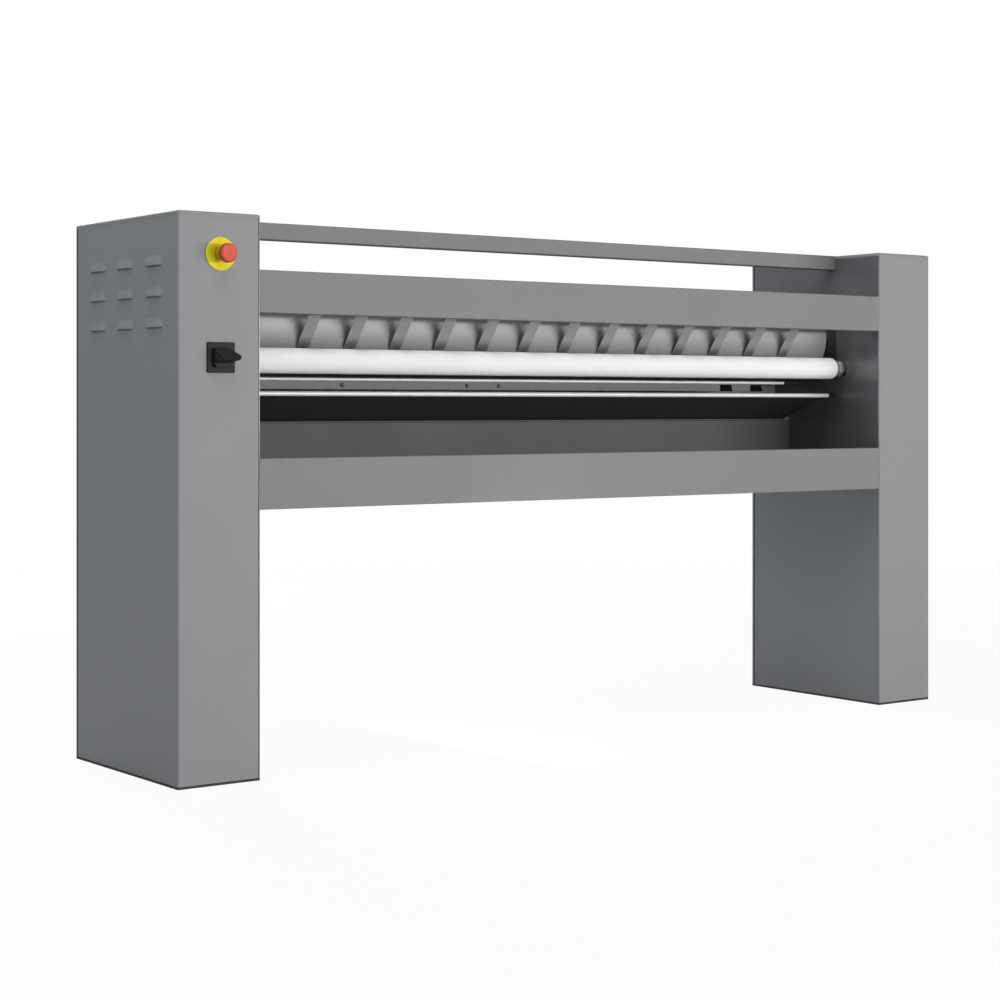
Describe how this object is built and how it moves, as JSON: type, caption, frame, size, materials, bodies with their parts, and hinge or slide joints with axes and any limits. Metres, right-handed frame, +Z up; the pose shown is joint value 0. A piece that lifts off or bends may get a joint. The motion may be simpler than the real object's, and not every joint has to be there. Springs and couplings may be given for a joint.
{
  "type": "flatwork ironer",
  "caption": "Floor standing flatwork ironer with a heated cylinder, a spring pressed cloth roller, a guide comb, a chute flap and a collecting tray between two sheet metal cabinets.",
  "frame": {"origin": "On the floor, under the middle of the box around the whole machine.", "axes": "+X runs along the rollers to the right as seen from the front, +Y to the back, +Z up."},
  "size_m": [1.999, 0.4636, 1.05],
  "materials": {
    "hammer_paint": "silver grey hammer paint, half gloss",
    "dark_paint": "dark grey paint",
    "polished_steel": "finely polished along the turning direction",
    "plain_steel": "bright sheet and bar steel",
    "zinc_steel": "dull zinc plate",
    "cast_iron": "grey casting",
    "belt_rubber": "black rubber with a flat back",
    "ironing_cloth": "white heat proof cloth",
    "yellow_plastic": "satin yellow",
    "red_plastic": "light red moulding",
    "black_plastic": "satin black moulding"
  },
  "bodies": {
    "frame": {"cable_gland": "black_plastic", "collecting_tray": "hammer_paint", "control_box": "dark_paint", "drive_belt": "belt_rubber", "emergency_body": "black_plastic", "emergency_plate": "yellow_plastic", "front_upper_cover": "hammer_paint", "gearmotor": "dark_paint", "guide_comb": "plain_steel", "heating_element": "plain_steel", "left_arm_pivot_bolt": "plain_steel", "left_base": "dark_paint", "left_bearing": "cast_iron", "left_bearing_plate": "zinc_steel", "left_element_holder": "zinc_steel", "left_flap_pin": "zinc_steel", "left_inner_panel": "hammer_paint", "left_plate_clip": "black_plastic", "left_pressure_spring": "plain_steel", "left_rear_panel": "hammer_paint", "left_shell": "hammer_paint", "left_top_cover": "hammer_paint", "lower_front_beam": "hammer_paint", "plate_rail": "zinc_steel", "rail_screw_1": "zinc_steel", "rail_screw_2": "zinc_steel", "rail_screw_3": "zinc_steel", "rear_cover": "hammer_paint", "rear_top_bar": "hammer_paint", "right_arm_pivot_bolt": "plain_steel", "right_base": "dark_paint", "right_bearing": "cast_iron", "right_bearing_plate": "zinc_steel", "right_element_holder": "zinc_steel", "right_flap_pin": "zinc_steel", "right_inner_panel": "hammer_paint", "right_plate_clip": "black_plastic", "right_pressure_spring": "plain_steel", "right_rear_panel": "hammer_paint", "right_shell": "hammer_paint", "right_top_cover": "hammer_paint", "scraper_plate": "plain_steel", "switch_body": "black_plastic", "switch_plate": "black_plastic"},
    "stop_plunger": {"emergency_plunger": "black_plastic"},
    "stop_head": {"emergency_head": "red_plastic"},
    "main_switch": {"switch_knob": "black_plastic"},
    "cylinder": {"heated_cylinder": "polished_steel", "left_end_flange": "polished_steel", "right_end_flange": "polished_steel", "cylinder_pulley": "cast_iron"},
    "motor_shaft": {"motor_pulley": "cast_iron"},
    "pressure_frame": {"left_pressure_arm": "zinc_steel", "right_pressure_arm": "zinc_steel", "roller_axle": "plain_steel"},
    "roller": {"roller_cover": "ironing_cloth", "roller_tube": "plain_steel", "left_roller_cap": "plain_steel", "right_roller_cap": "plain_steel"},
    "flap": {"linen_flap": "plain_steel"}
  },
  "joints": [
    {"name": "stop_press", "type": "slide", "parent": "frame", "child": "stop_plunger", "axis": [0, 1, 0], "range_m": [0, 0.004], "stiffness_N_per_m": 1500, "springref_m": -0.002},
    {"name": "stop_twist", "type": "hinge", "parent": "stop_plunger", "child": "stop_head", "pos_m": [-0.9055, -0.23128, 0.9738], "axis": [0, 1, 0], "range_deg": [0, 45], "stiffness_Nm_per_rad": 0.05, "springref_deg": -11.46},
    {"name": "switch_turn", "type": "hinge", "parent": "frame", "child": "main_switch", "pos_m": [-0.9055, -0.20037, 0.7835], "axis": [0, -1, 0], "range_deg": [0, 90]},
    {"name": "cylinder_spin", "type": "hinge", "parent": "frame", "child": "cylinder", "pos_m": [0, 0.03072, 0.856], "axis": [1, 0, 0], "continuous": true},
    {"name": "motor_spin", "type": "hinge", "parent": "frame", "child": "motor_shaft", "pos_m": [-0.87, 0.01422, 0.34], "axis": [1, 0, 0], "continuous": true},
    {"name": "pressure_release", "type": "hinge", "parent": "frame", "child": "pressure_frame", "pos_m": [0, -0.01214, 0.70152], "axis": [1, 0, 0], "range_deg": [0, 8], "stiffness_Nm_per_rad": 40, "springref_deg": -28.65, "deforming": ["left_pressure_spring", "right_pressure_spring"]},
    {"name": "roller_spin", "type": "hinge", "parent": "pressure_frame", "child": "roller", "pos_m": [0, -0.07077, 0.78253], "axis": [1, 0, 0], "continuous": true},
    {"name": "flap_lift", "type": "hinge", "parent": "frame", "child": "flap", "pos_m": [0, -0.05077, 0.71893], "axis": [1, 0, 0], "range_deg": [0, 18]}
  ],
  "couplings": [
    {"joint": "motor_spin", "follows": "cylinder_spin", "ratio": 2.1429},
    {"joint": "roller_spin", "follows": "cylinder_spin", "ratio": -4}
  ]
}
